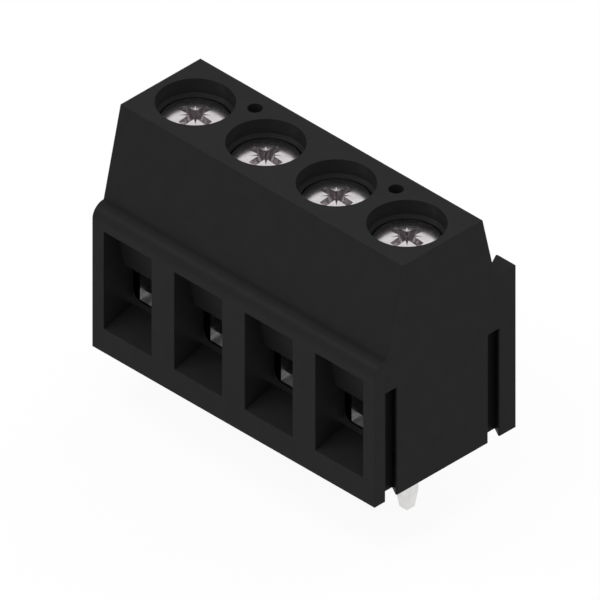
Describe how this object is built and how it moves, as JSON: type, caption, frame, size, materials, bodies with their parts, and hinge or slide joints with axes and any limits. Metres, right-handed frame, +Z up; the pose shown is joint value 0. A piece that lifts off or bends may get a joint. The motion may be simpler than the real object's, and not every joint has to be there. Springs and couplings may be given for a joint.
{
  "type": "pcb terminal block",
  "caption": "Screw terminal block for a circuit board: wires enter ports in the side, captive screws in the top draw up steel clamp yokes, and solder pins stand below.",
  "frame": {"origin": "middle of the row of solder pins, on the face that sits on the circuit board", "axes": "+X along the row towards the end with the grooves, -Y towards the wires, +Z up from the board"},
  "size_m": [0.0206, 0.01, 0.0173],
  "materials": {
    "housing_plastic": "fine satin mould texture, near black",
    "screw_steel": "zinc-plated, smooth",
    "yoke_steel": "zinc-plated, stamped",
    "tinned_strip": "matt tin plate over copper alloy"
  },
  "bodies": {
    "housing": {"housing": "housing_plastic", "current_bar_1": "tinned_strip", "current_bar_2": "tinned_strip", "current_bar_3": "tinned_strip", "current_bar_4": "tinned_strip"},
    "screw_1": {"clamp_screw_1": "screw_steel"},
    "yoke_1": {"clamp_yoke_1": "yoke_steel"},
    "screw_2": {"clamp_screw_2": "screw_steel"},
    "yoke_2": {"clamp_yoke_2": "yoke_steel"},
    "screw_3": {"clamp_screw_3": "screw_steel"},
    "yoke_3": {"clamp_yoke_3": "yoke_steel"},
    "screw_4": {"clamp_screw_4": "screw_steel"},
    "yoke_4": {"clamp_yoke_4": "yoke_steel"}
  },
  "joints": [
    {"name": "screw_1_turn", "type": "hinge", "parent": "housing", "child": "screw_1", "pos_m": [-0.0075, 0, 0.0138], "axis": [0, 0, -1], "range_deg": [-920, 800]},
    {"name": "yoke_1_lift", "type": "slide", "parent": "housing", "child": "yoke_1", "axis": [0, 0, 1], "range_m": [-0.00115, 0.001]},
    {"name": "screw_2_turn", "type": "hinge", "parent": "housing", "child": "screw_2", "pos_m": [-0.0025, 0, 0.0138], "axis": [0, 0, -1], "range_deg": [-920, 800]},
    {"name": "yoke_2_lift", "type": "slide", "parent": "housing", "child": "yoke_2", "axis": [0, 0, 1], "range_m": [-0.00115, 0.001]},
    {"name": "screw_3_turn", "type": "hinge", "parent": "housing", "child": "screw_3", "pos_m": [0.0025, 0, 0.0138], "axis": [0, 0, -1], "range_deg": [-920, 800]},
    {"name": "yoke_3_lift", "type": "slide", "parent": "housing", "child": "yoke_3", "axis": [0, 0, 1], "range_m": [-0.00115, 0.001]},
    {"name": "screw_4_turn", "type": "hinge", "parent": "housing", "child": "screw_4", "pos_m": [0.0075, 0, 0.0138], "axis": [0, 0, -1], "range_deg": [-920, 800]},
    {"name": "yoke_4_lift", "type": "slide", "parent": "housing", "child": "yoke_4", "axis": [0, 0, 1], "range_m": [-0.00115, 0.001]}
  ],
  "couplings": [
    {"joint": "screw_1_turn", "follows": "yoke_1_lift", "rad_per_m": 13962},
    {"joint": "screw_2_turn", "follows": "yoke_2_lift", "rad_per_m": 13962},
    {"joint": "screw_3_turn", "follows": "yoke_3_lift", "rad_per_m": 13962},
    {"joint": "screw_4_turn", "follows": "yoke_4_lift", "rad_per_m": 13962}
  ]
}
